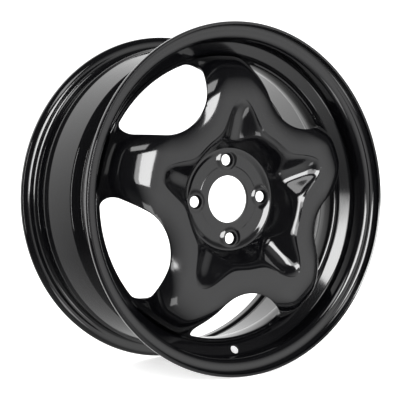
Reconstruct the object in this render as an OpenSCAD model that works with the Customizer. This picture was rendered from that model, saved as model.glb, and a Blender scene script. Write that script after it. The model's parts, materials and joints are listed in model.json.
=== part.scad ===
// Pressed steel road wheel: a rolled drop-centre rim with a five-spoke star disc welded inside it.
// The wheel turns about Y. The styled outboard face looks along -Y, +Z is up and the valve hole is
// at the bottom. The origin is on the axis, half way between the two flanges.

/* [Rim] */
// Width between the inner faces of the two flanges
rim_w = 165.1; // [160:0.1:172]
// Bead seat diameter at the flanges
seat_d = 405.6; // [400:0.1:412]
// Sheet thickness of the rim
rim_sheet = 2.7; // [2.2:0.1:3]
// Height of each flange above its bead seat
flange_h = 17.5; // [16:0.1:19]
// Outside radius of the curl at the top of a flange
curl_r = 10; // [9:0.1:11]
// Turn of the curl from the flange wall to its lip, in degrees
curl_turn = 115; // [100:1:125]
// Taper of the bead seats, in degrees
seat_taper = 5; // [4:0.1:6]
// Width of a bead seat from the flange to the foot of its hump
seat_w = 16; // [14:0.1:18]
// Distance from a flange to the crest of the safety hump
hump_in = 24; // [22.5:0.1:26]
// Height of the hump's bend above the bead seat
hump_h = 1.6; // [0.8:0.1:2.5]
// Depth of the well below the bead seats
well_depth = 17.1; // [15:0.1:19]
// Outboard end of the well floor, measured from the middle of the rim
well_out = 46.4; // [44:0.1:48]
// Inboard end of the well floor, measured from the middle of the rim
well_in = 12; // [8:0.1:13]
// Depth of the ledge below the bead seats where it leaves the well ramp
ledge_depth = 8.2; // [6:0.1:10]
// Axial run of the ramp from the well floor to the ledge
ramp_run = 12.5; // [10:0.1:16]
// Bend radius of the well and the ramp, on the middle of the sheet
bend_r = 8; // [6:0.1:9]
// Bend radius between a bead seat and its flange, tyre side
seat_bend_r = 6.5; // [5:0.1:7]
// Bend radius of the humps, on the middle of the sheet
hump_bend_r = 6; // [5:0.1:7]
// Valve hole diameter
valve_d = 11.5; // [11:0.1:12.5]

/* [Hub pad] */
// Offset of the hub mounting face, outboard of the middle of the rim
hub_offset = 50; // [48:0.1:51]
// Thickness of the hub pad
pad_sheet = 4; // [3.6:0.1:4.6]
// Centre bore diameter
bore_d = 60.1; // [54:0.1:63]
// Chamfer at each end of the centre bore
bore_chamfer = 0.8; // [0.4:0.1:1.2]
// Radius of the raised land round the bore
land_r = 42.5; // [40:0.1:44]
// Height of the raised land
land_h = 0.6; // [0.4:0.1:1]
// Radius of the flat pad
pad_r = 57; // [55:0.1:59]
// Radius of the ring line where the star begins
ring_r = 65; // [63:0.1:66]
// Rise of the ring above the pad
ring_rise = 3.4; // [2.8:0.1:4]
// Width of the ring's flat top
ring_top = 1.6; // [1.2:0.1:2]

/* [Lug seats] */
// Number of wheel bolts
lug_count = 4; // [4:1:5]
// Pitch circle diameter of the bolts
lug_pcd = 100; // [98:0.1:102]
// Bolt hole diameter
lug_d = 14; // [13:0.1:15]
// Height of the pressed boss round a bolt hole
boss_h = 2.5; // [2:0.1:3]
// Diameter of the boss at its top
boss_d = 21; // [19.5:0.1:22]
// Slope of the boss flank, in degrees from the pad
boss_slope = 25; // [22:1:35]
// Depth of the pressing behind a boss
boss_dent = 1.5; // [1:0.1:1.8]
// Length of the straight part of a bolt hole
lug_land = 1.8; // [1.2:0.1:2.2]
// Included angle of the bolt's cone seat, in degrees
seat_cone = 60; // [60:1:66]

/* [Star] */
// Number of spokes
spokes = 5; // [5:1:6]
// Radius of the crater's crest between two spokes
star_in_r = 83; // [81:0.1:85]
// Radius of the crater's crest at a star tip
star_tip_r = 122; // [119:0.1:125]
// Sharpness of the star tips
star_sharp = 1.9; // [1.7:0.05:2.1]
// Height of the spoke crowns above the middle of the rim
crown_h = 95.5; // [92:0.1:97]
// Rounding of the crest, as the height over which crater and crown blend
crest_blend = 7; // [5:0.1:9]
// Radius where the round wall above the ring gives way to the star's flutes
bench_r = 72; // [71:0.1:73]
// Height of the flutes where they begin
bench_h = 69; // [67:0.1:71]
// Rounding between round wall and flutes, as the height over which they blend
bench_blend = 3; // [2:0.1:4]
// Sheet thickness left in the star and its skirt after drawing
star_sheet = 3.5; // [3.2:0.1:3.7]

/* [Windows] */
// Radius of a window's inner edge
window_in_r = 118; // [115:0.1:122]
// Radius of the rounded inner end of a window
window_nose_r = 59; // [54:0.1:62]
// Slant of a window's sides from its middle line, in degrees
window_slant = 49.6; // [48:0.1:51]
// Radius of a window's outer corners
window_corner_r = 11; // [9:0.1:13]
// Width of the lip that is left between a window and the skirt
lip_w = 1.9; // [1.5:0.1:2.4]
// Height of the window edge where it is highest
edge_h = 88.5; // [86:0.1:90]
// Radius outside which the window edge falls back
edge_fall_r = 128; // [124:0.1:132]
// Width of the flank between a window's edge and the spoke's crown
flank_w = 25; // [22:0.1:28]

/* [Skirt and weld] */
// Outboard end of the skirt, above the middle of the rim
skirt_front = 46; // [44:0.1:47]
// Length of the skirt
skirt_len = 26; // [23:0.1:27]
// Clearance between the skirt and the well
fit_gap = 0.1; // [0.05:0.01:0.15]
// Leg of the fillet weld
weld_leg = 3.5; // [3:0.1:3.8]
// Arc of one weld, in degrees
weld_arc = 40; // [25:1:60]

/* [Hidden] */
$fn = 96;

paint = "#1a1b1d";
bare_weld = "#26272a";

half_w = rim_w / 2;
half_sheet = rim_sheet / 2;
seat_r = seat_d / 2;
flange_r = seat_r + flange_h;
seat_mid_r = seat_r - half_sheet;
well_mid_r = seat_mid_r - well_depth;
well_under_r = well_mid_r - half_sheet;
hump_mid_r = seat_mid_r + hump_h;
hump_foot_r = seat_mid_r - seat_w * tan(seat_taper);
hump_run = hump_in - seat_w;
arc_steps = 6;
curl_steps = 12;

pad_front = hub_offset + pad_sheet;
ring_front = pad_front + ring_rise;
bore_r = bore_d / 2;
lug_r = lug_pcd / 2;
lug_hole_r = lug_d / 2;
pitch = 360 / spokes;
half_pitch = pitch / 2;
top_spoke = 90;

skirt_out_r = well_under_r - fit_gap;
skirt_in_r = skirt_out_r - star_sheet;
skirt_back = skirt_front - skirt_len;
// Middle of a weld's face, as a share of its leg; a flat weld has 0.5
weld_swell = 0.6;
// How far the drawn sheet is tucked inside the pad ring
tuck = 3;
// How far the drawn sheet stays under the faces of the pad ring
inset = 0.3;

// Rounded centre line of a bent sheet, and its outline

function unit(v) = v / norm(v);

function turn_by(v, a) = [v.x * cos(a) - v.y * sin(a), v.x * sin(a) + v.y * cos(a)];

function cross_z(u, v) = u.x * v.y - u.y * v.x;

// Points of the arc of radius r that rounds the corner b of the line a, b, c
function corner_arc(a, b, c, r, steps) =
    let (u = unit(a - b), v = unit(c - b), half = acos(u * v) / 2)
    let (centre = b + unit(u + v) * r / sin(half))
    let (start = b + u * r / tan(half) - centre)
    let (turn = (180 - 2 * half) * sign(cross_z(start, v)))
    [for (i = [0:steps]) centre + turn_by(start, turn * i / steps)];

// Sideways direction at point i of a line, long enough to keep the sheet's thickness in a bend
function side_at(line, i) =
    let (last = len(line) - 1)
    let (before = unit(line[max(i, 1)] - line[max(i, 1) - 1]))
    let (after = unit(line[min(i + 1, last)] - line[min(i + 1, last) - 1]))
    let (along = unit(before + after))
    [-along.y, along.x] / (along * after);

function cap(centre, start, steps) =
    [for (i = [1:steps - 1]) centre + turn_by(start, -180 * i / steps)];

// Closed outline of a sheet with round ends along a line
function sheet_outline(line, thick) =
    let (last = len(line) - 1, h = thick / 2)
    let (first_side = side_at(line, 0) * h, last_side = side_at(line, last) * h)
    concat(
        [for (i = [0:last]) line[i] + side_at(line, i) * h],
        cap(line[last], last_side, arc_steps),
        [for (i = [last:-1:0]) line[i] - side_at(line, i) * h],
        cap(line[0], -first_side, arc_steps));

// Rim section as points of radius and height, outboard lip first

// Curl of a flange from its lip to its wall, outboard when side is 1
function curl(side) =
    let (mid = curl_r - half_sheet)
    [for (i = [0:curl_steps]) let (a = curl_turn * (1 - i / curl_steps))
        [flange_r - curl_r + mid * sin(a), side * (half_w + curl_r - mid * cos(a))]];

function backwards(list) = [for (i = [len(list) - 1:-1:0]) list[i]];

hump_out = [hump_mid_r, half_w - hump_in];
well_foot = [well_mid_r, well_out];
flange_foot = half_w + half_sheet;

rim_bends = [
    [seat_mid_r, flange_foot, seat_bend_r + half_sheet],
    [hump_foot_r, half_w - seat_w, bend_r],
    [hump_out.x, hump_out.y, hump_bend_r],
    [well_foot.x, well_foot.y, bend_r],
    [well_mid_r, well_in, bend_r],
    [seat_mid_r - ledge_depth, well_in - ramp_run, bend_r],
    [hump_foot_r, hump_in + hump_run - half_w, bend_r],
    [hump_mid_r, hump_in - half_w, hump_bend_r],
    [hump_foot_r, seat_w - half_w, bend_r],
    [seat_mid_r, -flange_foot, seat_bend_r + half_sheet]];

function bend_point(i) = [rim_bends[i].x, rim_bends[i].y];

rim_line =
    let (out = curl(1), last = len(rim_bends) - 1, in = backwards(curl(-1)))
    let (corners = concat([out[curl_steps]], [for (i = [0:last]) bend_point(i)], [in[0]]))
    concat(
        out,
        [for (i = [0:last])
            each corner_arc(corners[i], corners[i + 1], corners[i + 2], rim_bends[i].z, arc_steps)],
        in);

// Middle of the outboard well wall, where the valve hole is
wall_dir = unit(well_foot - hump_out);
wall_mid = (well_foot + hump_out) / 2;
valve_tilt = -atan2(-wall_dir.y, -wall_dir.x);

// Window outline in its own frame, with the middle line of the window along x

function polar(r, a) = [r * cos(a), r * sin(a)];

window_out_r = skirt_out_r - lip_w;
side_dir = polar(1, window_slant);
side_in = [sin(window_slant), -cos(window_slant)];
nose_at = [window_in_r + window_nose_r, 0];
side_from = nose_at - window_nose_r * side_in;
corner_line = side_from + window_corner_r * side_in;
corner_along = corner_line * side_dir;
side_len = -corner_along + sqrt(corner_along ^ 2 - corner_line * corner_line
    + (window_out_r - window_corner_r) ^ 2);
corner_at = corner_line + side_len * side_dir;
nose_turn = 90 - window_slant;
corner_end = atan2(corner_at.y, corner_at.x);

nose_rows = 5;
side_rows = 3;
corner_rows = 6;

window_edge = concat(
    [for (i = [1:nose_rows]) nose_at + polar(window_nose_r, 180 - nose_turn * i / nose_rows)],
    [for (i = [1:side_rows]) side_from + side_dir * side_len * i / side_rows],
    [for (i = [1:corner_rows])
        corner_at + polar(window_corner_r,
            180 - nose_turn + (corner_end - 180 + nose_turn) * i / corner_rows)]);

// Distance of a point of the sheet from the nose and side of the nearest window
function from_window(r, a) =
    let (q = polar(r, half_pitch - abs(a)))
    (q - side_from) * side_dir < 0 ? norm(q - nose_at) - window_nose_r : (side_from - q) * side_in;

// Height of the drawn sheet over the plane of the wheel, at radius r and angle a from a spoke

crown_reach = skirt_out_r - star_tip_r;
// Share of the flank's rise by which the sheet still falls past a window's edge
edge_turn = 0.12;

// 1 along the middle of a spoke, 0 half way between two spokes
function star(a) = pow((1 + cos(spokes * a)) / 2, star_sharp);

function crown(r) =
    let (x = min(max(r - star_tip_r, 0) / crown_reach, 1))
    skirt_front + (crown_h - skirt_front) * sqrt(1 - x * x);

function edge(r) =
    edge_h - (edge_h - skirt_front) * (max(r - edge_fall_r, 0) / (skirt_out_r - edge_fall_r)) ^ 2;

function crater(r, a) =
    let (floor_h = ring_front - inset, crest = star_in_r + (star_tip_r - star_in_r) * star(a))
    let (wall = floor_h + (bench_h - floor_h) * (r - ring_r) / (bench_r - ring_r))
    let (flute = bench_h + (crown_h - bench_h) * (r - bench_r) / (crest - bench_r))
    max(blend_low(wall, flute, bench_blend), floor_h);

// Rise of a flank from 0 at the window's edge to 1 at the crown, level again soon past the edge
function flank(x) = x > 0 ? 1 - (1 - min(x, 1)) ^ 2 : edge_turn * (exp(2 * x / edge_turn) - 1);

function shell(r, a) = edge(r) + (crown(r) - edge(r)) * flank(from_window(r, a) / flank_w);

function blend_low(p, q, k) = min(p, q) - max(k - abs(p - q), 0) ^ 2 / (4 * k);

function height(r, a) = blend_low(shell(r, a), crater(r, a), crest_blend);

// Step in millimetres, and in degrees, over which the sheet's slope is measured
probe = 0.1;

// Outward direction of the sheet as radial, sideways and axial parts
function outward(r, a) =
    let (dr = (height(r + probe, a) - height(r, a)) / probe)
    let (da = (height(r, a + probe) - height(r, a - probe)) / (2 * probe * r * PI / 180))
    unit([-dr, -da, 1]);

// Rows of the sheet run from the pad ring to the skirt, columns across a spoke

// How much the rows of the crater wall crowd towards its crest, 1 is even
row_crowding = 1.4;
wall_rows = 8;
bridge_rows = 5;
half_cols = 8;
window_cols = 8;
cols = 2 * half_cols;
closed_rows = wall_rows + bridge_rows;
last_row = closed_rows + len(window_edge);

function row_share(i) = max(i - wall_rows, 0) / (last_row + 1 - wall_rows);

function wall_share(i) = 1 - (1 - min((i - 1) / (wall_rows - 1), 1)) ^ row_crowding;
function wall_r(i, crest) = i == 0 ? ring_r : bench_r + (crest - bench_r) * wall_share(i);

// Radius of row i along the middle of a spoke
function spoke_r(i) = i <= wall_rows
    ? wall_r(i, star_tip_r)
    : star_tip_r + crown_reach * sin(90 * row_share(i));

// Radius of row i along the middle of a window, or along its edge
function side_r(i) = i <= wall_rows ? wall_r(i, star_in_r)
    : i <= closed_rows ? star_in_r + (window_in_r - star_in_r) * (i - wall_rows) / bridge_rows
    : norm(window_edge[i - closed_rows - 1]);

function side_a(i) = i <= closed_rows ? half_pitch
    : let (q = window_edge[i - closed_rows - 1]) half_pitch - atan2(q.y, q.x);

// Radius and angle from the spoke's middle at row i, column j counted from the middle
function place(i, j) =
    let (t = abs(j) / half_cols, share = row_share(i))
    let (w = (1 - star(half_pitch * t)) * (1 - share) + t * share)
    [spoke_r(i) + (side_r(i) - spoke_r(i)) * w, side_a(i) * j / half_cols];

// Point of the sheet's front face, moved back by depth along the sheet's own direction
function sheet_point(i, j, mid, depth) =
    let (at = place(i, j), n = outward(at[0], at[1]), a = mid + at[1])
    let (r = at[0] - depth * n.x)
    [r * cos(a) + depth * n.y * sin(a), r * sin(a) - depth * n.y * cos(a),
        height(at[0], at[1]) - depth * n.z];

function ring_point(r, a, h) = [r * cos(a), r * sin(a), h];

spoke_mids = [for (k = [0:spokes - 1]) top_spoke + k * pitch];
half_span = [-half_cols:half_cols - 1];
full_span = [-half_cols:half_cols];

// Angles round the skirt from a spoke's middle: across the spoke's foot, then across the window
foot_a = side_a(last_row);
window_angles = [for (j = [1:window_cols - 1]) foot_a + (pitch - 2 * foot_a) * j / window_cols];
skirt_angles = concat([for (j = full_span) foot_a * j / half_cols], window_angles);

// Height and outward direction of the lip that runs on from a spoke's foot along the window
lip_h = height(window_out_r, foot_a);
lip_out = outward(window_out_r, foot_a);

function lip_point(a, depth) = ring_point(window_out_r - depth * lip_out.x, a, lip_h - depth * lip_out.z);

// One face of the sheet: the row tucked in the pad ring, the closed rows, the spokes, the lip and the skirt
function face_points(depth, tuck_h, skirt_r) = concat(
    [for (mid = spoke_mids, j = half_span) ring_point(ring_r - tuck, mid + place(0, j)[1], tuck_h)],
    [for (i = [0:closed_rows], mid = spoke_mids, j = half_span) sheet_point(i, j, mid, depth)],
    [for (i = [closed_rows + 1:last_row - 1], mid = spoke_mids, j = full_span)
        sheet_point(i, j, mid, depth)],
    [for (mid = spoke_mids) each concat(
        [for (j = full_span) sheet_point(last_row, j, mid, depth)],
        [for (a = window_angles) lip_point(mid + a, depth)])],
    [for (h = [skirt_front, skirt_back], mid = spoke_mids, a = skirt_angles)
        ring_point(skirt_r, mid + a, h)]);

front_points = face_points(0, ring_front - 4 * inset, skirt_out_r);
back_points = face_points(star_sheet, ring_front - pad_sheet + 2 * inset, skirt_in_r);

// Points in one row of each kind, and the number of the first row of each kind
ring_size = spokes * cols;
strip_size = spokes * (cols + 1);
skirt_cols = cols + window_cols;
skirt_size = spokes * skirt_cols;
strip_row = closed_rows + 2;
skirt_row = strip_row + last_row - closed_rows - 1;
strip_start = strip_row * ring_size;
skirt_start = strip_start + (skirt_row - strip_row) * strip_size;
face_size = len(front_points);

// Number of the point at row i, spoke k and column j, all counted from 0
function spot(i, k, j) = i < strip_row ? i * ring_size + (k * cols + j) % ring_size
    : i < skirt_row ? strip_start + (i - strip_row) * strip_size + k * (cols + 1) + j
    : skirt_start + (i - skirt_row) * skirt_size + (k * skirt_cols + j) % skirt_size;

// Two triangles between rows i and i + 1, with the diagonal turned towards the spoke's middle
function patch(i, k, j) =
    let (a = spot(i, k, j), b = spot(i, k, j + 1), c = spot(i + 1, k, j + 1), d = spot(i + 1, k, j))
    j < half_cols ? [[a, b, d], [b, c, d]] : [[a, b, c], [a, c, d]];

front_faces = concat(
    [for (i = [0:skirt_row - 1], k = [0:spokes - 1], j = [0:cols - 1]) each patch(i, k, j)],
    [for (i = [skirt_row, skirt_row + 1], k = [0:spokes - 1], j = [0:skirt_cols - 1])
        each patch(i, k, j)]);

back_faces = [for (f = front_faces) [f[2] + face_size, f[1] + face_size, f[0] + face_size]];

// Two triangles that close the sheet between neighbouring front points p and q
function wall_between(p, q) = [[p, q, p + face_size], [q, q + face_size, p + face_size]];

hub_wall = [for (k = [0:spokes - 1], j = [0:cols - 1])
    each wall_between(spot(0, k, j + 1), spot(0, k, j))];
skirt_wall = [for (k = [0:spokes - 1], j = [0:skirt_cols - 1])
    each wall_between(spot(skirt_row + 2, k, j), spot(skirt_row + 2, k, j + 1))];
spoke_walls = [for (k = [0:spokes - 1], i = [strip_row - 1:skirt_row - 1])
    each concat(
        wall_between(spot(i, k, 0), spot(i + 1, k, 0)),
        wall_between(spot(i + 1, k, cols), spot(i, k, cols)))];
window_walls = [for (k = [0:spokes - 1], j = [cols:skirt_cols - 1])
    each wall_between(spot(skirt_row, k, j + 1), spot(skirt_row, k, j))];

// Turns a wheel built round z, outboard side up, to its own frame
module on_axle() {
    rotate([90, 0, 0])
        children();
}

// Rolled rim with its valve hole
module rim() {
    color(paint)
        on_axle()
            difference() {
                rotate_extrude()
                    polygon(sheet_outline(rim_line, rim_sheet));
                translate([0, -wall_mid.x, wall_mid.y])
                    rotate([valve_tilt, 0, 0])
                        cylinder(d = valve_d, h = 6 * rim_sheet, center = true);
            }
}

// Flat pad that bolts to the hub, with the raised ring that the star grows from
module hub_pad() {
    flank = ring_r - ring_top;
    rotate_extrude()
        polygon([
            [bore_r + bore_chamfer, hub_offset],
            [pad_r + pad_sheet / 2, hub_offset],
            [ring_r + pad_sheet / 2, ring_front - pad_sheet + inset],
            [ring_r + ring_top / 2, ring_front],
            [flank, ring_front],
            [pad_r, pad_front],
            [land_r + land_h, pad_front],
            [land_r, pad_front + land_h],
            [bore_r + bore_chamfer, pad_front + land_h],
            [bore_r, pad_front + land_h - bore_chamfer],
            [bore_r, hub_offset + bore_chamfer]]);
}

// Places its children at each bolt hole, at the hub face
module each_lug() {
    for (k = [0:lug_count - 1])
        rotate(top_spoke + k * 360 / lug_count)
            translate([lug_r, 0, hub_offset])
                children();
}

// Raised boss round a bolt hole
module lug_boss() {
    foot = boss_d / 2 + boss_h / tan(boss_slope);
    translate([0, 0, pad_sheet - 2 * inset])
        cylinder(r = foot, h = 2 * inset);
    translate([0, 0, pad_sheet])
        cylinder(r1 = foot, r2 = boss_d / 2, h = boss_h);
}

// Bolt hole with its cone seat, and the dent behind the boss
module lug_hole() {
    cone_h = pad_sheet + boss_h - boss_dent - lug_land;
    translate([0, 0, -boss_dent])
        cylinder(r = lug_hole_r, h = pad_sheet + 2 * boss_h + boss_dent);
    translate([0, 0, boss_dent + lug_land])
        cylinder(r1 = lug_hole_r, r2 = lug_hole_r + 2 * cone_h * tan(seat_cone / 2), h = 2 * cone_h);
    translate([0, 0, -boss_dent])
        cylinder(r1 = boss_d / 2 + 2 * boss_dent, r2 = boss_d / 2 - 2 * boss_dent, h = 2 * boss_dent);
}

// Star of spokes and the skirt that is pressed into the well, drawn from one sheet
module spoke_star() {
    polyhedron(
        points = concat(front_points, back_points),
        faces = concat(front_faces, back_faces, hub_wall, skirt_wall, spoke_walls, window_walls));
}

// Pressed disc: hub pad, star and skirt in one sheet
module disc() {
    color(paint)
        on_axle() {
            difference() {
                union() {
                    hub_pad();
                    each_lug() lug_boss();
                }
                each_lug() lug_hole();
            }
            spoke_star();
        }
}

// Fillet welds that join the back of the skirt to the well, one behind each spoke
module weld_beads() {
    color(bare_weld)
        on_axle()
            for (k = [0:spokes - 1])
                rotate(top_spoke + k * pitch - weld_arc / 2)
                    rotate_extrude(angle = weld_arc)
                        polygon([
                            [well_under_r, skirt_back],
                            [well_under_r, skirt_back - weld_leg],
                            [well_under_r - weld_leg * weld_swell, skirt_back - weld_leg * weld_swell],
                            [well_under_r - weld_leg, skirt_back]]);
}

rim();
disc();
weld_beads();
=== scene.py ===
# %% [markdown]
# # A pressed steel road wheel
# A plain car wheel is two pressings held by welds: a strip that is rolled into a rim with a well in the
# middle, and a round sheet that is drawn into a disc with five spokes. The whole wheel is then dipped in
# black enamel. The solids give the sizes. Here each pressing is made again as a fine, smooth sheet, because
# a glossy black surface shows every facet in its reflections.

# %% Load the solids
import json
import math

import bmesh
import bpy
from mathutils import Matrix, Vector
from mathutils.kdtree import KDTree


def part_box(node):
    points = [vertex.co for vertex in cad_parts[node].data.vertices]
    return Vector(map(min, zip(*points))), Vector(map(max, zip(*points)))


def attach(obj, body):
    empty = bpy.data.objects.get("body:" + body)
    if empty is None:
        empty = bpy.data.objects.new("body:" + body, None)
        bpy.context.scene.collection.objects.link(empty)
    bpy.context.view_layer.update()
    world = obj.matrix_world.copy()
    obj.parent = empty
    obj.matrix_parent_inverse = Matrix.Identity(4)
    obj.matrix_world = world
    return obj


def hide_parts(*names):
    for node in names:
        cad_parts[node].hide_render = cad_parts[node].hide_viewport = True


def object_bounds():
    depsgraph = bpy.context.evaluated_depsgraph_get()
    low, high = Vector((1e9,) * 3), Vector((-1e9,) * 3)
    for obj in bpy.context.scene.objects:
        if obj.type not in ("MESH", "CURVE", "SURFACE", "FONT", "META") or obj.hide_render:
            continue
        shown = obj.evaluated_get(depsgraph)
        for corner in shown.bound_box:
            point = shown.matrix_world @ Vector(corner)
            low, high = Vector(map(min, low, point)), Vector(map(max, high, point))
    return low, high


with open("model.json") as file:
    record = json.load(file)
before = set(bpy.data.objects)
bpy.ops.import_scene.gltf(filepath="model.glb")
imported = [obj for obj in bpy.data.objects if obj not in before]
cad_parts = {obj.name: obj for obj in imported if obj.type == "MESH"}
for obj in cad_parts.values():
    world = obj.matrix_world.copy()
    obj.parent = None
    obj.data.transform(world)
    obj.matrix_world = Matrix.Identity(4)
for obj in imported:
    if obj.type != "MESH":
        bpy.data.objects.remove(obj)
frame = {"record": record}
solid_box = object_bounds()
MM = 0.001
print("solids span", [round((high - low) / MM, 1) for low, high in zip(*solid_box)], "mm")

# %% [markdown]
# ## Sizes that come with the solids
# The bore, the bolt circle, the valve hole and the mounting face are stated with the part, so they are read
# from there. The rest of the sheet metal is named in millimetres where it is first used. The wheel is built
# lying down, with its axis along Z and its styled side up, because that is how a press and a rolling mill
# see it.

# %% Read the fits
mounts = {mount["name"]: mount for mount in frame["record"]["mounts"]}
BORE_R = mounts["hub_bore"]["dims"]["r_mm"]
LUG_R = mounts["lug_bolts"]["dims"]["pcd_mm"] / 2
LUG_COUNT = mounts["lug_bolts"]["dims"]["count"]
LUG_HOLE_R = mounts["lug_bolts"]["dims"]["hole_r_mm"]
VALVE_HOLE_R = mounts["valve_hole"]["dims"]["r_mm"]
HUB_OFFSET = -mounts["hub_face"]["pos_m"][1] / MM
FLANGE_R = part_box("rim")[1].x / MM
AXLE = Vector((0, 0, 1))
CENTRE = Vector((0, 0, 0))
print("bore", BORE_R, "lug circle", LUG_R, "offset", HUB_OFFSET, "flange", round(FLANGE_R, 2))

# %% [markdown]
# ## From a mesh to a piece
# Every pressing ends the same way: the lying wheel is stood on its axle, turned from millimetres to metres
# and hung on the frame in place of its solid. Points closer than two thousandths of a millimetre are one.

# %% Stand a pressing up and hang it on the frame
SAME_POINT = 0.002


def stand_up(bm, name, node):
    upright = Matrix.Rotation(math.radians(90), 3, "X")
    bmesh.ops.rotate(bm, verts=bm.verts, cent=CENTRE, matrix=upright)
    bmesh.ops.scale(bm, verts=bm.verts, vec=(MM, MM, MM))
    mesh = bpy.data.meshes.new(name)
    bm.to_mesh(mesh)
    bm.free()
    mesh.shade_smooth()
    piece = bpy.data.objects.new(name, mesh)
    bpy.context.scene.collection.objects.link(piece)
    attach(piece, "root")
    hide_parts(node)
    print(name, "has", len(mesh.polygons), "faces before its modifiers")
    return piece


def everything(bm):
    return bm.verts[:] + bm.edges[:] + bm.faces[:]


def merge_and_face_out(bm):
    bmesh.ops.remove_doubles(bm, verts=bm.verts, dist=SAME_POINT)
    bmesh.ops.recalc_face_normals(bm, faces=bm.faces)


def round_edges(piece, width, segments, angle):
    bevel = piece.modifiers.new("rounded_edges", "BEVEL")
    bevel.width = width * MM
    bevel.segments = segments
    bevel.limit_method = "ANGLE"
    bevel.angle_limit = math.radians(angle)


# %% [markdown]
# ## The rim's section
# A rolling mill bends a flat strip at one line after another. The section is drawn the same way: a few
# corner points, each rounded with a vertex bevel, whose offset is the bend's tangent length. Only the two
# curled flanges turn by more than a right angle, so each is spun from the end of its flange wall.

# %% Places of the bends on the middle line of the strip
RIM_SHEET = 2.7
RIM_HALF = 82.55
FLANGE_FOOT = RIM_HALF + RIM_SHEET / 2
SEAT_R = 202.8
SEAT_W = 16
SEAT_TAPER = math.radians(5)
SEAT_MID = SEAT_R - RIM_SHEET / 2
HUMP_IN = 24
HUMP_RISE = 1.6
HUMP_FOOT = SEAT_MID - SEAT_W * math.tan(SEAT_TAPER)
HUMP_MID = SEAT_MID + HUMP_RISE
WELL_DEPTH = 17.1
WELL_MID = SEAT_MID - WELL_DEPTH
WELL_OUT = 46.4
WELL_IN = 12
LEDGE_DEPTH = 8.2
LEDGE_MID = SEAT_MID - LEDGE_DEPTH
RAMP_RUN = 12.5
BEND_R = 8
SEAT_BEND_R = 7.85
HUMP_BEND_R = 6

bends = [
    (SEAT_MID, FLANGE_FOOT, SEAT_BEND_R),
    (HUMP_FOOT, RIM_HALF - SEAT_W, BEND_R),
    (HUMP_MID, RIM_HALF - HUMP_IN, HUMP_BEND_R),
    (WELL_MID, WELL_OUT, BEND_R),
    (WELL_MID, WELL_IN, BEND_R),
    (LEDGE_MID, WELL_IN - RAMP_RUN, BEND_R),
    (HUMP_FOOT, 2 * HUMP_IN - SEAT_W - RIM_HALF, BEND_R),
    (HUMP_MID, HUMP_IN - RIM_HALF, HUMP_BEND_R),
    (HUMP_FOOT, SEAT_W - RIM_HALF, BEND_R),
    (SEAT_MID, -FLANGE_FOOT, SEAT_BEND_R),
]
print("strip has", len(bends), "bends, and its well is", WELL_OUT - WELL_IN, "mm wide")

# %% Draw the middle line of the strip
BEND_STEPS = 7
CURL_R = 10
CURL_TURN = math.radians(120)
CURL_STEPS = 14
CURL_CENTRE_R = FLANGE_R - CURL_R


def round_bend(bm, corner, radius):
    before, after = [edge.other_vert(corner).co - corner.co for edge in corner.link_edges]
    tangent = radius / math.tan(before.angle(after) / 2)
    bmesh.ops.bevel(bm, geom=[corner], offset=tangent, offset_type="OFFSET", segments=BEND_STEPS,
                    profile=0.5, affect="VERTICES", material=-1)


rim_bm = bmesh.new()
strip_line = [(CURL_CENTRE_R, FLANGE_FOOT)] + [(r, h) for r, h, _ in bends] + [(CURL_CENTRE_R, -FLANGE_FOOT)]
points = [rim_bm.verts.new((r, 0, h)) for r, h in strip_line]
for start, end in zip(points, points[1:]):
    rim_bm.edges.new((start, end))
for corner, (_, _, radius) in zip(points[1:-1], bends):
    round_bend(rim_bm, corner, radius)
for end, side in ((points[0], 1), (points[-1], -1)):
    curl_centre = (CURL_CENTRE_R, 0, side * (RIM_HALF + CURL_R))
    bmesh.ops.spin(rim_bm, geom=[end], cent=curl_centre, axis=(0, 1, 0), angle=-side * CURL_TURN,
                   steps=CURL_STEPS)
print("rim section has", len(rim_bm.verts), "points")

# %% [markdown]
# ## Spin the rim, and punch the valve hole
# The line is spun once round the axle. Near the valve the steps are fine, so that a round hole can be opened
# in the slanting wall of the well: the faces over the hole go, and the ragged edge that is left is pulled to
# a circle. A Solidify modifier then gives the strip its thickness, half to each side, hole included.

# %% Spin the strip
FINE_SPAN = math.radians(10)
FINE_STEPS = 34
ROUND_STEPS = 190
WALL_CUTS = 12
wall_top = Vector((HUMP_MID, 0, RIM_HALF - HUMP_IN))
wall_foot = Vector((WELL_MID, 0, WELL_OUT))
wall_middle = (wall_top + wall_foot) / 2


def middle_of(edge):
    return (edge.verts[0].co + edge.verts[1].co) / 2


wall_edge = min(rim_bm.edges, key=lambda edge: (middle_of(edge) - wall_middle).length)
bmesh.ops.subdivide_edges(rim_bm, edges=[wall_edge], cuts=WALL_CUTS)
near_valve = bmesh.ops.spin(rim_bm, geom=rim_bm.verts[:] + rim_bm.edges[:], cent=CENTRE, axis=AXLE,
                            angle=FINE_SPAN, steps=FINE_STEPS)
bmesh.ops.spin(rim_bm, geom=near_valve["geom_last"], cent=CENTRE, axis=AXLE,
               angle=2 * math.pi - FINE_SPAN, steps=ROUND_STEPS)
to_bottom = Matrix.Rotation(-math.pi / 2 - FINE_SPAN / 2, 3, "Z")
bmesh.ops.rotate(rim_bm, verts=rim_bm.verts, cent=CENTRE, matrix=to_bottom)
merge_and_face_out(rim_bm)
print("spun strip has", len(rim_bm.faces), "faces")

# %% Open the valve hole
HOLE_EDGE_WITHIN = 1.5
valve_x, valve_y, valve_z = [value / MM for value in mounts["valve_hole"]["pos_m"]]
valve_at = Vector((valve_x, valve_z, -valve_y))
axis_x, axis_y, axis_z = mounts["valve_hole"]["axis"]
valve_axis = Vector((axis_x, axis_z, -axis_y)).normalized()


def off_axis(point, at, axis):
    reach = point - at
    return reach - axis * reach.dot(axis)


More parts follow.
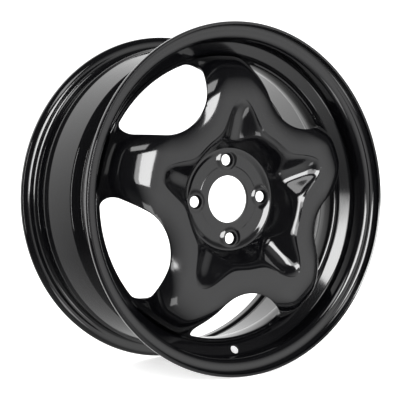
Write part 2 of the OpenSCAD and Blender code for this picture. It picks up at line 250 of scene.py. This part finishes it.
def open_hole(bm, at, axis, radius, depth):
    """Removes the faces round an axis and pulls the edge that is left to a circle."""
    over = [face for face in bm.faces
            if abs((face.calc_center_median() - at).dot(axis)) < depth
            and off_axis(face.calc_center_median(), at, axis).length < radius]
    bmesh.ops.delete(bm, geom=over, context="FACES")
    hole_edge = [vert for vert in bm.verts if vert.is_boundary
                 and abs((vert.co - at).dot(axis)) < depth
                 and off_axis(vert.co, at, axis).length < HOLE_EDGE_WITHIN * radius]
    for vert in hole_edge:
        outward = off_axis(vert.co, at, axis)
        vert.co += outward.normalized() * radius - outward
    return hole_edge


# The hole is round along its own axis, and its edge is laid back on the cone of the wall.
wall_slope = (wall_top.x - wall_foot.x) / (wall_top.z - wall_foot.z)
valve_edge = open_hole(rim_bm, valve_at, valve_axis, VALVE_HOLE_R, depth=BEND_R)
for vert in valve_edge:
    wall_r = wall_foot.x + (vert.co.z - wall_foot.z) * wall_slope
    flat = Vector((vert.co.x, vert.co.y, 0)).normalized() * wall_r
    vert.co = (flat.x, flat.y, vert.co.z)
print("valve hole has", len(valve_edge), "points")

# %% Give the strip its thickness
rim = stand_up(rim_bm, "rolled_rim", "rim")
strip = rim.modifiers.new("strip_thickness", "SOLIDIFY")
strip.thickness = RIM_SHEET * MM
strip.offset = 0
strip.use_even_offset = True
round_edges(rim, width=0.9, segments=3, angle=60)
rim.modifiers.new("flat_bands", "WEIGHTED_NORMAL").keep_sharp = False

# %% [markdown]
# ## The hub pad
# The disc is one sheet from the bore to the skirt, and its front is drawn as a height over each point. In the
# middle lies a flat pad with a low land round the bore and a raised ring round its edge. A press makes no
# sharp corners, so where two heights meet, the lower or the higher of them is taken with a soft blend.

# %% Height of the pad
PAD_SHEET = 4
PAD_TOP = HUB_OFFSET + PAD_SHEET
LAND_R = 42.5
LAND_H = 0.6
PAD_R = 57
RING_IN_R = 63.4
RING_R = 65
RING_RISE = 3.4
RING_TOP = PAD_TOP + RING_RISE
SOFT = 0.7


def lower_of(p, q, blend):
    return min(p, q) - max(blend - abs(p - q), 0) ** 2 / (4 * blend)


def higher_of(p, q, blend):
    return -lower_of(-p, -q, blend)


def pad_height(r):
    land = PAD_TOP + LAND_H - max(r - LAND_R, 0)
    ring_flank = PAD_TOP + (r - PAD_R) * (RING_TOP - PAD_TOP) / (RING_IN_R - PAD_R)
    low = higher_of(lower_of(land, PAD_TOP + LAND_H, SOFT / 2), PAD_TOP, SOFT / 2)
    return lower_of(higher_of(low, ring_flank, SOFT), RING_TOP, SOFT)


print("pad at", PAD_TOP, "mm, ring round it at", RING_TOP, "mm")

# %% [markdown]
# ## The star
# Round the pad the press leaves a crater in the shape of a star. Its crest swings out along each spoke and in
# between two spokes. Inside the crest the sheet falls by its distance from the crest, as a roof does from its
# ridge, so the two flanks of an arm are even and their crests are crisp. A KD tree of points on the crest
# finds that distance. Each arm, or flute, has a floor that climbs from a bench by the hub to the arm's tip,
# and from the bench a steep wall drops to the ring: steeper between two spokes than along one.

# %% The crest of the star
SPOKES = 5
PITCH = 2 * math.pi / SPOKES
HALF_PITCH = PITCH / 2
STAR_IN_R = 85
STAR_TIP_R = 125
STAR_SHARP = 3
CREST_STEPS = 2000


def star(angle):
    """One in the middle of a spoke, nought between two spokes."""
    return ((1 + math.cos(SPOKES * angle)) / 2) ** STAR_SHARP


def along_arm(angle, between, on_spoke):
    """A value that goes over from its size between two spokes to its size on a spoke."""
    return between + (on_spoke - between) * math.sqrt(star(angle))


def crest_r(angle):
    return STAR_IN_R + (STAR_TIP_R - STAR_IN_R) * star(angle)


crest_tree = KDTree(CREST_STEPS)
for step in range(CREST_STEPS):
    angle = HALF_PITCH * step / (CREST_STEPS - 1)
    crest_tree.insert(Matrix.Rotation(angle, 3, "Z") @ Vector((crest_r(angle), 0, 0)), step)
crest_tree.balance()
print("crest runs from", crest_r(HALF_PITCH), "to", crest_r(0), "mm from the axle")

# %% Height of the crater
CROWN_H = 95.5
CRATER_INSET = 0.3
CRATER_FLOOR = RING_TOP - CRATER_INSET
GAP_WALL = 2.2
ARM_WALL = 1.7
FLUTE_LEAN = 1.0
FLUTE_H = 91
FLUTE_BLEND = 5
VALLEY_BLEND = 16
BENCH_R = 70
BENCH_H = 70
BENCH_BLEND = 3


def inside_crest(r, angle):
    """Distance from the crest on one side of a spoke, positive inside the star."""
    _, _, distance = crest_tree.find(Matrix.Rotation(angle, 3, "Z") @ Vector((r, 0, 0)))
    return math.copysign(distance, crest_r(angle) - r)


def crater(r, angle):
    round_wall = CRATER_FLOOR + along_arm(angle, GAP_WALL, ARM_WALL) * (r - RING_R)
    inside = lower_of(inside_crest(r, angle), inside_crest(r, -angle), VALLEY_BLEND)
    flute_floor = BENCH_H + (FLUTE_H - BENCH_H) * (r - BENCH_R) / (STAR_TIP_R - BENCH_R)
    flute = higher_of(CROWN_H - FLUTE_LEAN * inside, flute_floor, FLUTE_BLEND)
    return lower_of(round_wall, flute, BENCH_BLEND)


print("crater is", round(CROWN_H - CRATER_FLOOR, 1), "mm deep")

# %% [markdown]
# ## The windows
# Each window has a round nose towards the hub, two slanting sides and two rounded corners that run out along
# the skirt, which is pressed into the well. The columns of the sheet beside the window's middle end on its
# nose. The others run on beside the window, so its outline is walked from the last of those columns to the
# skirt.

# %% Outline of a window
FIT_GAP = 0.1
SKIRT_R = WELL_MID - RIM_SHEET / 2 - FIT_GAP
WINDOW_IN_R = 118
NOSE_R = 59
SIDE_SLANT = math.radians(49.6)
CORNER_R = 11
LIP_W = 1.9
HALF_COLS = 28
SPOKE_COLS = 18

side_dir = Vector((math.cos(SIDE_SLANT), math.sin(SIDE_SLANT)))
side_in = Vector((math.sin(SIDE_SLANT), -math.cos(SIDE_SLANT)))
nose_at = Vector((WINDOW_IN_R + NOSE_R, 0))
nose_turn = math.pi / 2 - SIDE_SLANT
side_from = nose_at - NOSE_R * side_in
window_out_r = SKIRT_R - LIP_W
corner_line = side_from + CORNER_R * side_in
corner_along = corner_line.dot(side_dir)
corner_reach = window_out_r - CORNER_R
side_len = math.sqrt(corner_along ** 2 - corner_line.length_squared + corner_reach ** 2) - corner_along
corner_at = corner_line + side_len * side_dir
corner_turn = math.atan2(corner_at.y, corner_at.x) - math.pi + nose_turn


def nose_reach(angle):
    """Radius of the nose at an angle from the window's middle."""
    return nose_at.x * math.cos(angle) - math.sqrt(NOSE_R ** 2 - (nose_at.x * math.sin(angle)) ** 2)


split_a = HALF_PITCH * SPOKE_COLS / HALF_COLS
split_r = nose_reach(HALF_PITCH - split_a)
split_turn = math.asin(split_r * math.sin(HALF_PITCH - split_a) / NOSE_R)
print("straight side of a window is", round(side_len, 1), "mm long")

# %% Walk along a window, and measure from it
NOSE_ROWS = 5
SIDE_ROWS = 12
CORNER_ROWS = 14
LIP_ROWS = 3
SPOKE_ROWS = NOSE_ROWS + SIDE_ROWS + CORNER_ROWS + LIP_ROWS


def around(centre, radius, angle):
    return centre + radius * Vector((math.cos(angle), math.sin(angle)))


def window_point(row):
    if row <= NOSE_ROWS:
        return around(nose_at, NOSE_R, math.pi - split_turn - (nose_turn - split_turn) * row / NOSE_ROWS)
    row -= NOSE_ROWS
    if row <= SIDE_ROWS:
        return side_from + side_dir * side_len * row / SIDE_ROWS
    row -= SIDE_ROWS
    if row <= CORNER_ROWS:
        return around(corner_at, CORNER_R, math.pi - nose_turn + corner_turn * row / CORNER_ROWS)
    return corner_at.normalized() * (window_out_r + LIP_W * (row - CORNER_ROWS) / LIP_ROWS)


def from_window(r, angle):
    """Distance from the nearest window's edge, negative inside the window."""
    spot = around(Vector((0, 0)), r, HALF_PITCH - abs(angle))
    if (spot - side_from).dot(side_dir) < 0:
        return (spot - nose_at).length - NOSE_R
    return (side_from - spot).dot(side_in)


print("star's tip lies", round(from_window(STAR_TIP_R, 0), 1), "mm from a window")

# %% [markdown]
# ## Crown and flanks
# Outside the star the sheet is a crown that bends over in a quarter of an ellipse and goes down into the
# skirt. Towards each window it falls off in a soft flank, and it keeps turning a little past the window's
# edge. The whole front is then the lower of this shell and the crater, with a crest that is crisper on a
# spoke than between two.

# %% Height of the sheet from the bore to the skirt
SKIRT_FRONT = 46
EDGE_H = 88.5
EDGE_FALL_R = 128
EDGE_TURN = 0.12
FLANK_W = 25
GAP_BLEND = 10
CREST_BLEND = 4.5


def crown(r):
    share = min(max(r - STAR_TIP_R, 0) / (SKIRT_R - STAR_TIP_R), 1)
    return SKIRT_FRONT + (CROWN_H - SKIRT_FRONT) * math.sqrt(1 - share * share)


def window_edge_height(r):
    share = max(r - EDGE_FALL_R, 0) / (SKIRT_R - EDGE_FALL_R)
    return EDGE_H - (EDGE_H - SKIRT_FRONT) * share ** 2


def flank(share):
    if share > 0:
        return 1 - (1 - min(share, 1)) ** 2
    return EDGE_TURN * (math.exp(2 * share / EDGE_TURN) - 1)


def sheet_height(r, angle):
    if r <= RING_R:
        return pad_height(r)
    edge_h = window_edge_height(r)
    shell = edge_h + (crown(r) - edge_h) * flank(from_window(r, angle) / FLANK_W)
    bowl = higher_of(crater(r, angle), RING_TOP, SOFT)
    return lower_of(shell, bowl, along_arm(angle, GAP_BLEND, CREST_BLEND))


print("crest of a spoke is", round(sheet_height(STAR_TIP_R, 0), 1), "mm high")

# %% [markdown]
# ## Half a spoke
# The wheel repeats half a spoke ten times, so that is all that is drawn, from two flat grids. The rows of
# the first start at the bore, cross the pad, climb the crater wall and end on the window's nose and on a line
# across the spoke. The second runs on from that line to the skirt, beside the window. Three faces meet at the
# corner that they share on the window's edge, so none is a sliver.

# %% Shape the grids
PAD_ROWS = 46
WALL_ROWS = 30
BRIDGE_ROWS = 14
ROW_CROWDING = 1.4
SHOULDER_RUN = 5
SHOULDER_R = STAR_TIP_R + SHOULDER_RUN
NEAR = 0.001
shoulder_turn = math.asin(SHOULDER_RUN / (SKIRT_R - STAR_TIP_R))


def bridge_r(angle):
    if angle < split_a:
        return SHOULDER_R + (split_r - SHOULDER_R) * (angle / split_a) ** 2
    return nose_reach(HALF_PITCH - angle)


def hub_spot(row, across):
    angle = HALF_PITCH * across
    if row <= PAD_ROWS:
        return BORE_R + (RING_R - BORE_R) * row / PAD_ROWS, angle
    row -= PAD_ROWS
    if row <= WALL_ROWS:
        return RING_R + (crest_r(angle) - RING_R) * (1 - (1 - row / WALL_ROWS) ** ROW_CROWDING), angle
    return crest_r(angle) + (bridge_r(angle) - crest_r(angle)) * (row - WALL_ROWS) / BRIDGE_ROWS, angle


def spoke_spot(row, across):
    side = window_point(row)
    side_a = HALF_PITCH - math.atan2(side.y, side.x)
    turn = shoulder_turn + (math.pi / 2 - shoulder_turn) * row / SPOKE_ROWS
    spoke_r = STAR_TIP_R + (SKIRT_R - STAR_TIP_R) * math.sin(turn)
    return spoke_r + (side.length - spoke_r) * across ** 2, side_a * across


def shape_grid(bm, columns, rows, spot):
    grid = bmesh.ops.create_grid(bm, x_segments=columns, y_segments=rows, size=0.5)
    for vert in grid["verts"]:
        r, angle = spot(round((vert.co.y + 0.5) * rows), vert.co.x + 0.5)
        vert.co = (r * math.cos(angle), r * math.sin(angle), sheet_height(r, angle))


disc_bm = bmesh.new()
shape_grid(disc_bm, HALF_COLS, PAD_ROWS + WALL_ROWS + BRIDGE_ROWS, hub_spot)
shape_grid(disc_bm, SPOKE_COLS, SPOKE_ROWS, spoke_spot)
bmesh.ops.remove_doubles(disc_bm, verts=disc_bm.verts, dist=SAME_POINT)
foot = [edge for edge in disc_bm.edges if all(vert.co.xy.length > SKIRT_R - NEAR for vert in edge.verts)]
print("half a spoke has", len(disc_bm.faces), "faces and a foot of", len(foot), "edges")

# %% Draw the skirt down from the spoke's foot
SKIRT_LEN = 26
SKIRT_STEPS = 3
SAME_LEVEL = 0.01
for _ in range(SKIRT_STEPS):
    drawn = bmesh.ops.extrude_edge_only(disc_bm, edges=foot)["geom"]
    new_verts = [item for item in drawn if isinstance(item, bmesh.types.BMVert)]
    bmesh.ops.translate(disc_bm, verts=new_verts, vec=(0, 0, -SKIRT_LEN / SKIRT_STEPS))
    low = min(vert.co.z for vert in new_verts)
    foot = [item for item in drawn if isinstance(item, bmesh.types.BMEdge)
            and all(vert.co.z < low + SAME_LEVEL for vert in item.verts)]
print("skirt goes down to", round(low, 1), "mm")

# %% Spin the skirt on across the window
WINDOW_STEPS = 12
SAME_ANGLE = 1e-5
skirt_end_a = spoke_spot(SPOKE_ROWS, 1)[1]


def on_skirt_end(vert):
    off_end = abs(math.atan2(vert.co.y, vert.co.x) - skirt_end_a)
    return off_end < SAME_ANGLE and vert.co.xy.length > window_out_r - NEAR


skirt_side = [edge for edge in disc_bm.edges if all(on_skirt_end(vert) for vert in edge.verts)]
skirt_verts = list(dict.fromkeys(vert for edge in skirt_side for vert in edge.verts))
bmesh.ops.spin(disc_bm, geom=skirt_verts + skirt_side, cent=CENTRE, axis=AXLE,
               angle=HALF_PITCH - skirt_end_a, steps=WINDOW_STEPS)
print("skirt's end has", len(skirt_side), "edges")

# %% Mirror the half spoke, and repeat it round the wheel
def repeat_round_wheel(bm):
    bmesh.ops.spin(bm, geom=everything(bm), cent=CENTRE, axis=AXLE,
                   angle=PITCH * (SPOKES - 1), steps=SPOKES - 1, use_duplicate=True)


bmesh.ops.mirror(disc_bm, geom=everything(disc_bm), merge_dist=SAME_POINT, axis="Y")
repeat_round_wheel(disc_bm)
spoke_up = Matrix.Rotation(math.pi / 2, 3, "Z")
bmesh.ops.rotate(disc_bm, verts=disc_bm.verts, cent=CENTRE, matrix=spoke_up)
merge_and_face_out(disc_bm)
if sum(face.normal.z * face.calc_area() for face in disc_bm.faces) < 0:
    bmesh.ops.reverse_faces(disc_bm, faces=disc_bm.faces)
print("whole sheet has", len(disc_bm.faces), "faces")

# %% [markdown]
# ## Bolt seats
# Round each bolt hole the pad is pressed up into a boss with a flat top. The boss is raised by moving the
# points of the pad, and the hole is opened in its flat top.

# %% Raise the bosses and open the holes
BOSS_RISE = 2.5
BOSS_TOP = PAD_TOP + BOSS_RISE
BOSS_R = 10.5
BOSS_SLOPE = math.tan(math.radians(25))
OPENING_R = 9.2
top_lug = Vector((0, LUG_R, BOSS_TOP))
lugs = [Matrix.Rotation(2 * math.pi * i / LUG_COUNT, 3, "Z") @ top_lug for i in range(LUG_COUNT)]


def from_lug(point):
    return min(off_axis(point, lug, AXLE).length for lug in lugs)


for vert in disc_bm.verts:
    distance = from_lug(vert.co)
    if vert.co.xy.length < RING_R + SOFT and distance < 2 * BOSS_R:
        boss = lower_of(BOSS_TOP - (distance - BOSS_R) * BOSS_SLOPE, BOSS_TOP, SOFT)
        vert.co.z = higher_of(vert.co.z, boss, SOFT)
hole_points = [len(open_hole(disc_bm, lug, AXLE, OPENING_R, depth=2)) for lug in lugs]
print("bolt holes have", hole_points, "points")

# %% [markdown]
# ## The back of the sheet
# A sheet has a front and a back. The whole front is extruded as one region, which copies it and walls its
# edges, and the copy is moved back: along the sheet's own direction in the star, and straight back to the
# flat mounting face under the pad, with a shallow dent behind each boss.

# %% Give the sheet its back
STAR_SHEET = 3.5
STAR_BACK_FROM = 62
STAR_BACK_RUN = 4
BACK_FLAT_R = 59
BACK_RISE = 0.46
DENT = 1.5
DENT_SLOPE = 0.5
disc_bm.normal_update()
sheet_normal = disc_bm.verts.layers.float_vector.new("sheet_normal")
for vert in disc_bm.verts:
    vert[sheet_normal] = vert.normal
copied = bmesh.ops.extrude_face_region(disc_bm, geom=disc_bm.faces[:], use_keep_orig=True)["geom"]
for vert in [item for item in copied if isinstance(item, bmesh.types.BMVert)]:
    r = vert.co.xy.length
    dent = min(max((BOSS_R - from_lug(vert.co)) * DENT_SLOPE, 0), DENT)
    flat_back = Vector((vert.co.x, vert.co.y, HUB_OFFSET + max(r - BACK_FLAT_R, 0) * BACK_RISE + dent))
    star_back = vert.co - Vector(vert[sheet_normal]) * STAR_SHEET
    share = min(max((r - STAR_BACK_FROM) / STAR_BACK_RUN, 0), 1)
    vert.co = flat_back.lerp(star_back, share)
bmesh.ops.recalc_face_normals(disc_bm, faces=disc_bm.faces)
print("front and back have", len(disc_bm.faces), "faces")

# %% [markdown]
# ## Cone seats
# The wall of each bolt hole is one ring of faces for now. It is cut into rings, and the rings are moved to
# the cone that the bolt sits in and to the straight hole below it.

# %% Pinch the hole walls into cone seats
SEAT_LAND = 1.8
CONE_SLOPE = math.tan(math.radians(30))
ON_WALL = 0.01
dent_top = HUB_OFFSET + DENT
seat_steps = [
    (LUG_HOLE_R + (BOSS_TOP - dent_top - SEAT_LAND) * CONE_SLOPE, BOSS_TOP),
    (LUG_HOLE_R, dent_top + SEAT_LAND),
    (LUG_HOLE_R, dent_top),
]


def is_hole_wall(edge):
    rise = abs(edge.verts[0].co.z - edge.verts[1].co.z)
    return rise > PAD_SHEET and all(abs(from_lug(vert.co) - OPENING_R) < ON_WALL for vert in edge.verts)


hole_walls = [edge for edge in disc_bm.edges if is_hole_wall(edge)]
wall_heights = [vert.co.z for edge in hole_walls for vert in edge.verts]
wall_low = min(wall_heights)
wall_rise = max(wall_heights) - wall_low
rings = bmesh.ops.subdivide_edges(disc_bm, edges=hole_walls, cuts=len(seat_steps), use_grid_fill=True)
for vert in [item for item in rings["geom_inner"] if isinstance(item, bmesh.types.BMVert)]:
    depth = round((1 - (vert.co.z - wall_low) / wall_rise) * (len(seat_steps) + 1)) - 1
    seat_r, seat_h = seat_steps[min(max(depth, 0), len(seat_steps) - 1)]
    lug = min(lugs, key=lambda spot: (spot.xy - vert.co.xy).length)
    outward = off_axis(vert.co, lug, AXLE)
    vert.co += outward * (seat_r / outward.length - 1)
    vert.co.z = seat_h
disc = stand_up(disc_bm, "drawn_disc", "disc")
round_edges(disc, width=0.5, segments=2, angle=35)

# %% [markdown]
# ## Weld beads
# Five fillet welds hold the skirt in the well. A welding torch leaves overlapping ripples and tapered ends.
# One section is spun along the joint in fine steps, then each step is swelled or shrunk about the corner it
# fills, so the bead stays on both sheets.

# %% Lay one bead
WELD_LEG = 3.5
WELD_SWELL = 0.62
SHOULDER_NARROW = 0.62
SHOULDER_WIDE = 1.28
WELD_ARC = math.radians(40)
WELD_STEPS = 96
RIPPLE_PITCH = 2.6
RIPPLE = 0.1
TAPER_LEN = 5
TAPER_END = 0.45
WELL_UNDER_R = WELL_MID - RIM_SHEET / 2
joint = Vector((WELL_UNDER_R, 0, SKIRT_FRONT - SKIRT_LEN))
weld_len = WELD_ARC * WELL_UNDER_R


def bead_size(along):
    ripple = 1 - RIPPLE + RIPPLE * abs(math.sin(math.pi * along / RIPPLE_PITCH))
    taper = min(along, weld_len - along, TAPER_LEN) / TAPER_LEN
    return ripple * (TAPER_END + (1 - TAPER_END) * math.sqrt(taper))


weld_bm = bmesh.new()
bulge = -WELD_LEG * WELD_SWELL
bead_section = [
    (0, 0),
    (0, -WELD_LEG),
    (bulge * SHOULDER_NARROW, bulge * SHOULDER_WIDE),
    (bulge, bulge),
    (bulge * SHOULDER_WIDE, bulge * SHOULDER_NARROW),
    (-WELD_LEG, 0),
]
bead_face = weld_bm.faces.new([weld_bm.verts.new(joint + Vector((r, 0, h))) for r, h in bead_section])
bmesh.ops.spin(weld_bm, geom=[bead_face], cent=CENTRE, axis=AXLE, angle=WELD_ARC, steps=WELD_STEPS)
for vert in weld_bm.verts:
    angle = math.atan2(vert.co.y, vert.co.x)
    here = Matrix.Rotation(angle, 3, "Z") @ joint
    along = min(max(angle * WELL_UNDER_R, 0), weld_len)
    vert.co = here + (vert.co - here) * bead_size(along)
print("a bead is", round(weld_len, 1), "mm long")

# %% Repeat the bead behind each spoke
behind_spoke = Matrix.Rotation(math.pi / 2 - WELD_ARC / 2, 3, "Z")
bmesh.ops.rotate(weld_bm, verts=weld_bm.verts, cent=CENTRE, matrix=behind_spoke)
repeat_round_wheel(weld_bm)
merge_and_face_out(weld_bm)
welds = stand_up(weld_bm, "rippled_welds", "weld_beads")

# %% [markdown]
# ## Black enamel
# The wheel is dipped in a bath, where a current lays an even coat of black epoxy on the steel, and baked. The
# coat levels into a deep gloss with a faint orange peel, waves a few millimetres long and a few thousandths
# deep. The noise below has that wavelength; its slope is what bends the reflections. A slow cloud changes the
# gloss and the black by a little, as a dipped coat does where it ran.

# %% Colours and nodes
def linear(hex_colour):
    channels = [int(hex_colour[i:i + 2], 16) / 255 for i in (1, 3, 5)]
    return [c / 12.92 if c <= 0.04045 else ((c + 0.055) / 1.055) ** 2.4 for c in channels] + [1]


def add(tree, kind, inputs=None, **settings):
    node = tree.nodes.new(kind)
    for name, value in settings.items():
        setattr(node, name, value)
    for name, value in (inputs or {}).items():
        if isinstance(value, bpy.types.NodeSocket):
            tree.links.new(value, node.inputs[name])
        else:
            node.inputs[name].default_value = value
    return node


def per_metre(size_mm):
    """Scale of a noise whose waves are size_mm long on Object coordinates in metres."""
    return 1 / (size_mm * MM)


# %% Gloss black electrocoat
DEEP_BLACK = linear("#030304")
SOFT_BLACK = linear("#060607")
EPOXY_IOR = 1.5
CLOUD_MM = 45
CLOUD_LOW = 0.3
CLOUD_HIGH = 0.7
HAZE_SPREAD = 0.2


def black_electrocoat(name, peel_mm, peel_depth_mm, roughness):
    material = bpy.data.materials.new(name)
    material.use_nodes = True
    tree = material.node_tree
    shader = tree.nodes["Principled BSDF"]
    place_on = add(tree, "ShaderNodeTexCoord").outputs["Object"]
    peel = add(tree, "ShaderNodeTexNoise", {"Vector": place_on, "Scale": per_metre(peel_mm), "Detail": 1.0})
    cloud = add(tree, "ShaderNodeTexNoise", {"Vector": place_on, "Scale": per_metre(CLOUD_MM), "Detail": 3.0})
    bump = add(tree, "ShaderNodeBump", {"Height": peel.outputs["Fac"], "Strength": 1.0,
                                        "Distance": peel_depth_mm * MM})
    haze = add(tree, "ShaderNodeMapRange", {"Value": cloud.outputs["Fac"],
                                            "From Min": CLOUD_LOW, "From Max": CLOUD_HIGH,
                                            "To Min": roughness * (1 - HAZE_SPREAD),
                                            "To Max": roughness * (1 + HAZE_SPREAD)})
    # Sockets 6 and 7 of a Mix node are its two colours, and output 2 is the mixed one.
    tint = add(tree, "ShaderNodeMix", {0: cloud.outputs["Fac"], 6: DEEP_BLACK, 7: SOFT_BLACK},
               data_type="RGBA")
    tree.links.new(tint.outputs[2], shader.inputs["Base Color"])
    tree.links.new(haze.outputs["Result"], shader.inputs["Roughness"])
    tree.links.new(bump.outputs["Normal"], shader.inputs["Normal"])
    shader.inputs["IOR"].default_value = EPOXY_IOR
    return material


# On the pressings the coat is smooth, so highlights keep sharp edges that waver a little. On the welds it
# follows the rough metal, so they shine less.
gloss = black_electrocoat("black_electrocoat", peel_mm=2.5, peel_depth_mm=0.004, roughness=0.1)
weld_coat = black_electrocoat("black_electrocoat_on_weld", peel_mm=0.9, peel_depth_mm=0.03, roughness=0.22)
for piece, coat in ((rim, gloss), (disc, gloss), (welds, weld_coat)):
    piece.data.materials.append(coat)
    print(piece.name, "is coated with", coat.name)

# %% [markdown]
# ## Camera
# The camera stands to the left of the wheel, a little above its middle, and looks at the styled side. The
# wheel in the photograph has rolled a few degrees, so the camera is turned about the axle by as much.

# %% Set the camera
CAMERA_SIDE = math.radians(-32.449)
CAMERA_RISE = math.radians(1.399)
CAMERA_AWAY = 1.39292
AIM_RIGHT = -0.0067971
AIM_UP = -0.0022608
WHEEL_TURN = math.radians(3.2)
FOCAL_PIXELS = 1059.33
PICTURE_PIXELS = 400
SENSOR = 36
NEAREST = 0.01
flat_reach = math.cos(CAMERA_RISE)
back = Vector((math.sin(CAMERA_SIDE) * flat_reach, -math.cos(CAMERA_SIDE) * flat_reach,
               math.sin(CAMERA_RISE)))
right = Vector((math.cos(CAMERA_SIDE), math.sin(CAMERA_SIDE), 0))
up = back.cross(right)
with_wheel = Matrix.Rotation(WHEEL_TURN, 3, "Y")
camera_data = bpy.data.cameras.new("camera")
camera_data.sensor_width = SENSOR
camera_data.lens = FOCAL_PIXELS * SENSOR / PICTURE_PIXELS
camera_data.clip_start = NEAREST
camera = bpy.data.objects.new("camera", camera_data)
bpy.context.scene.collection.objects.link(camera)
pose = (with_wheel @ Matrix((right, up, back)).transposed()).to_4x4()
pose.translation = with_wheel @ (CAMERA_AWAY * back + AIM_RIGHT * right + AIM_UP * up)
camera.matrix_world = pose
bpy.context.scene.camera = camera
print("lens", round(camera_data.lens, 2), "mm")

# %% [markdown]
# ## Studio
# The wheel stands on a pale floor in front of a white surround. Black gloss shows the room rather than its
# own colour, so the room is drawn for reflections alone: dim on the left, pale on the front right and behind
# the wheel, with soft boxes where the highlights come from. The floor doesn't show in the gloss, and it glows
# a little, so the shadow on it stays faint.

# %% Floor
FLOOR_SIZE = 30
FLOOR_GLOW = 0.6
FLOOR_ROUGHNESS = 0.8
WHITE = linear("#ffffff")
floor_bm = bmesh.new()
bmesh.ops.create_grid(floor_bm, x_segments=1, y_segments=1, size=FLOOR_SIZE)
bmesh.ops.translate(floor_bm, verts=floor_bm.verts, vec=(0, 0, solid_box[0].z))
floor_mesh = bpy.data.meshes.new("floor")
floor_bm.to_mesh(floor_mesh)
floor_bm.free()
floor = bpy.data.objects.new("floor", floor_mesh)
bpy.context.scene.collection.objects.link(floor)
floor.visible_glossy = False
floor_paint = bpy.data.materials.new("pale_floor")
floor_paint.use_nodes = True
floor_shader = floor_paint.node_tree.nodes["Principled BSDF"]
floor_shader.inputs["Base Color"].default_value = linear("#f7f7f6")
floor_shader.inputs["Roughness"].default_value = FLOOR_ROUGHNESS
floor_shader.inputs["Emission Color"].default_value = WHITE
floor_shader.inputs["Emission Strength"].default_value = FLOOR_GLOW
floor.data.materials.append(floor_paint)
print("floor lies at", round(solid_box[0].z / MM, 1), "mm")

# %% Room
SURROUND = 1.5


def facing(azimuth, elevation):
    """Direction from the wheel: azimuth 0 is the styled side, positive to the right."""
    side = math.radians(azimuth)
    rise = math.radians(elevation)
    return Vector((math.sin(side) * math.cos(rise), -math.cos(side) * math.cos(rise), math.sin(rise)))


world = bpy.data.worlds.new("studio")
bpy.context.scene.world = world
world.use_nodes = True
sky = world.node_tree
toward = add(sky, "ShaderNodeTexCoord").outputs["Generated"]


def wall_glow(middle, edge_at, full_at, dim, bright):
    """Glow of one wall, dim up to its edge. Edge and full glow are cosines from the wall's middle."""
    nearness = add(sky, "ShaderNodeVectorMath", {0: toward, 1: middle}, operation="DOT_PRODUCT")
    glow = add(sky, "ShaderNodeMapRange", {"Value": nearness.outputs["Value"], "From Min": edge_at,
                                           "From Max": full_at, "To Min": dim, "To Max": bright})
    return glow.outputs["Result"]


front_wall = wall_glow(facing(28, -14), edge_at=0.5, full_at=1.0, dim=0.06, bright=1.75)
back_wall = wall_glow(facing(180, 8), edge_at=0.65, full_at=0.85, dim=0.0, bright=1.6)
ground = wall_glow(facing(0, -90), edge_at=0.4, full_at=0.9, dim=0.0, bright=0.35)
walls = add(sky, "ShaderNodeMath", {0: front_wall, 1: back_wall}, operation="ADD")
all_round = add(sky, "ShaderNodeMath", {0: walls.outputs["Value"], 1: ground}, operation="ADD")
room = sky.nodes["Background"]
room.inputs["Color"].default_value = WHITE
sky.links.new(all_round.outputs["Value"], room.inputs["Strength"])
surround = add(sky, "ShaderNodeBackground", {"Color": WHITE, "Strength": SURROUND})
in_gloss = add(sky, "ShaderNodeLightPath").outputs["Is Glossy Ray"]
seen = add(sky, "ShaderNodeMixShader", {0: in_gloss, 1: surround.outputs[0], 2: room.outputs[0]})
sky.links.new(seen.outputs[0], sky.nodes["World Output"].inputs["Surface"])
print("room is drawn with", len(sky.nodes), "nodes")

# %% Soft boxes
def soft_box(name, azimuth, elevation, away, size, brightness):
    """A lit panel that faces the wheel, its size and distance in metres."""
    light = bpy.data.lights.new(name, "AREA")
    light.shape = "RECTANGLE"
    light.size, light.size_y = size
    light.energy = brightness * math.pi * light.size * light.size_y
    box = bpy.data.objects.new(name, light)
    bpy.context.scene.collection.objects.link(box)
    box.location = facing(azimuth, elevation) * away
    box.rotation_euler = facing(azimuth, elevation).to_track_quat("Z", "Y").to_euler()
    print(name, "shines with", round(light.energy), "watts")


soft_box("key_box", azimuth=-8.5, elevation=15, away=2.6, size=(1.15, 1.3), brightness=18)
soft_box("fill_box", azimuth=-26, elevation=13, away=2.6, size=(0.45, 1.3), brightness=7)
soft_box("ceiling_box", azimuth=-34, elevation=52, away=2.6, size=(1.2, 0.8), brightness=6)
soft_box("low_box", azimuth=-25, elevation=-45, away=2.6, size=(1.0, 0.7), brightness=4)
soft_box("left_strip", azimuth=-105, elevation=8, away=2.2, size=(0.15, 1.8), brightness=9)
bpy.context.scene.view_settings.view_transform = "Standard"
